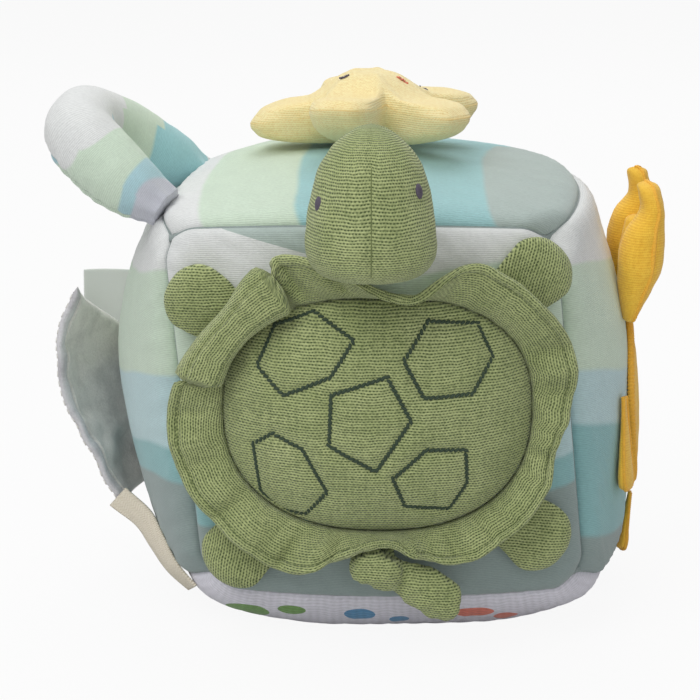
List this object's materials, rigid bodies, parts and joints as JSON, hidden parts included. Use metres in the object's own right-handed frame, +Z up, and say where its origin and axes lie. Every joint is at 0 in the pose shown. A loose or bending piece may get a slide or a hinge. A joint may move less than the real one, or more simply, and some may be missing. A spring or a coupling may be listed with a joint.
{
  "type": "soft activity block",
  "caption": "Stuffed fabric cube toy with a padded turtle, a starfish, a hang loop, a peep flap with tape and label, and a crab with raised claws.",
  "frame": {"origin": "on the flat resting face, under the block's middle", "axes": "+Z up from the surface it rests on, the turtle looks towards -Y, the crab is on +X and the flap on -X"},
  "size_m": [0.2242, 0.216, 0.1928],
  "materials": {
    "pale_grey_knit": "soft brushed jersey knit, pale grey to mint in wavy bands",
    "mint_knit": "soft brushed jersey knit in wavy bands of mint, light blue and grey-green",
    "blue_knit": "soft brushed jersey knit in wavy bands of light blue, aqua and grey",
    "lilac_rib": "fine ribbed jersey, lilac white",
    "green_muslin": "crinkled double muslin, mottled green",
    "yellow_terry": "waffle terry, pale yellow",
    "ochre_terry": "napped terry, ochre",
    "ochre_satin": "satin stitch thread, ochre",
    "grey_suede": "mottled suede-like cloth, grey",
    "satin_label": "thin satin ribbon, pale grey",
    "cream_tape": "herringbone cotton tape, cream",
    "wadding": "polyester fibre wadding, white"
  },
  "bodies": {
    "block": {"front_panel": "mint_knit", "back_panel": "mint_knit", "left_panel": "blue_knit", "right_panel": "blue_knit", "top_panel": "pale_grey_knit", "bottom_panel": "lilac_rib", "block_filling": "wadding", "shell_cover": "green_muslin", "shell_filling": "wadding", "shell_brim": "green_muslin", "crab_body": "ochre_terry", "crab_edging": "ochre_satin", "twill_tape": "cream_tape"},
    "turtle_head": {"head_right_cover": "green_muslin", "head_left_cover": "green_muslin", "head_filling": "wadding", "head_neck": "green_muslin"},
    "foot_upper_left": {"foot_upper_left_front": "green_muslin", "foot_upper_left_back": "green_muslin", "foot_upper_left_filling": "wadding"},
    "foot_upper_right": {"foot_upper_right_front": "green_muslin", "foot_upper_right_back": "green_muslin", "foot_upper_right_filling": "wadding"},
    "foot_lower_left": {"foot_lower_left_front": "green_muslin", "foot_lower_left_back": "green_muslin", "foot_lower_left_filling": "wadding"},
    "foot_lower_right": {"foot_lower_right_front": "green_muslin", "foot_lower_right_back": "green_muslin", "foot_lower_right_filling": "wadding"},
    "tail": {"turtle_tail": "green_muslin"},
    "starfish": {"starfish_top": "yellow_terry", "starfish_underside": "yellow_terry", "starfish_filling": "wadding"},
    "hang_loop": {"loop_cover": "mint_knit", "loop_filling": "wadding"},
    "side_flap": {"flap_outer_cloth": "grey_suede", "flap_wadding": "wadding", "flap_inner_cloth": "grey_suede", "flap_hem": "grey_suede"},
    "label": {"care_label": "satin_label"},
    "claw_front": {"claw_front_finger_outer": "ochre_terry", "claw_front_finger_inner": "ochre_terry", "claw_front_finger_filling": "wadding", "claw_front_thumb": "ochre_terry"},
    "leg_side_front": {"leg_side_front": "ochre_terry"},
    "leg_low_front": {"leg_low_front": "ochre_terry"},
    "claw_rear": {"claw_rear_finger_outer": "ochre_terry", "claw_rear_finger_inner": "ochre_terry", "claw_rear_finger_filling": "wadding", "claw_rear_thumb": "ochre_terry"},
    "leg_side_rear": {"leg_side_rear": "ochre_terry"},
    "leg_low_rear": {"leg_low_rear": "ochre_terry"}
  },
  "joints": [
    {"name": "head_nod", "type": "hinge", "parent": "block", "child": "turtle_head", "pos_m": [-0.0026, -0.08653, 0.138], "axis": [1, 0, 0], "range_deg": [-6, 8], "stiffness_Nm_per_rad": 0.02},
    {"name": "foot_upper_left_lift", "type": "hinge", "parent": "block", "child": "foot_upper_left", "pos_m": [-0.04581, -0.08322, 0.11529], "axis": [0.5239, -0.1578, 0.8371], "range_deg": [0, 10], "stiffness_Nm_per_rad": 0.01},
    {"name": "foot_upper_right_lift", "type": "hinge", "parent": "block", "child": "foot_upper_right", "pos_m": [0.04086, -0.08219, 0.12214], "axis": [0.649, 0.1514, -0.7456], "range_deg": [0, 10], "stiffness_Nm_per_rad": 0.01},
    {"name": "foot_lower_left_lift", "type": "hinge", "parent": "block", "child": "foot_lower_left", "pos_m": [-0.03691, -0.08372, 0.04784], "axis": [-0.7225, 0.1564, 0.6734], "range_deg": [0, 10], "stiffness_Nm_per_rad": 0.01},
    {"name": "foot_lower_right_lift", "type": "hinge", "parent": "block", "child": "foot_lower_right", "pos_m": [0.04168, -0.08442, 0.05304], "axis": [-0.6271, -0.1662, -0.761], "range_deg": [0, 10], "stiffness_Nm_per_rad": 0.01},
    {"name": "tail_swing", "type": "hinge", "parent": "block", "child": "tail", "pos_m": [0.0039, -0.08814, 0.043], "axis": [0, 1, 0], "range_deg": [-12, 12], "stiffness_Nm_per_rad": 0.005},
    {"name": "starfish_twist", "type": "hinge", "parent": "block", "child": "starfish", "pos_m": [-0.0025, -0.005, 0.16538], "axis": [0, 0, 1], "range_deg": [-15, 15], "stiffness_Nm_per_rad": 0.02},
    {"name": "loop_swing", "type": "hinge", "parent": "block", "child": "hang_loop", "pos_m": [-0.07236, -0.0175, 0.15201], "axis": [0.1294, 0.9913, 0.0254], "range_deg": [-20, 30], "stiffness_Nm_per_rad": 0.05},
    {"name": "flap_fold", "type": "hinge", "parent": "block", "child": "side_flap", "pos_m": [-0.09524, 0.018, 0.075], "axis": [-0.098, 0, 0.9952], "range_deg": [-15, 10], "stiffness_Nm_per_rad": 0.02, "deforming": ["twill_tape"]},
    {"name": "label_turn", "type": "hinge", "parent": "block", "child": "label", "pos_m": [-0.09313, 0.023, 0.0965], "axis": [0, 0, 1], "range_deg": [-20, 10], "stiffness_Nm_per_rad": 0.002},
    {"name": "claw_front_lean", "type": "hinge", "parent": "block", "child": "claw_front", "pos_m": [0.09008, -0.021, 0.104], "axis": [0, 1, 0], "range_deg": [0, 18], "stiffness_Nm_per_rad": 0.02},
    {"name": "claw_rear_lean", "type": "hinge", "parent": "block", "child": "claw_rear", "pos_m": [0.09008, 0.021, 0.104], "axis": [0, 1, 0], "range_deg": [0, 18], "stiffness_Nm_per_rad": 0.02},
    {"name": "leg_side_front_lift", "type": "hinge", "parent": "block", "child": "leg_side_front", "pos_m": [0.08903, -0.04149, 0.08012], "axis": [-0.3616, -0.922, 0.1383], "range_deg": [0, 20], "stiffness_Nm_per_rad": 0.005},
    {"name": "leg_side_rear_lift", "type": "hinge", "parent": "block", "child": "leg_side_rear", "pos_m": [0.08903, 0.04149, 0.08012], "axis": [0.3616, -0.922, -0.1383], "range_deg": [0, 20], "stiffness_Nm_per_rad": 0.005},
    {"name": "leg_low_front_lift", "type": "hinge", "parent": "block", "child": "leg_low_front", "pos_m": [0.0957, -0.0101, 0.03468], "axis": [-0.0544, -0.9914, 0.119], "range_deg": [0, 20], "stiffness_Nm_per_rad": 0.005},
    {"name": "leg_low_rear_lift", "type": "hinge", "parent": "block", "child": "leg_low_rear", "pos_m": [0.0957, 0.0101, 0.03468], "axis": [0.0544, -0.9914, -0.119], "range_deg": [0, 20], "stiffness_Nm_per_rad": 0.005}
  ]
}
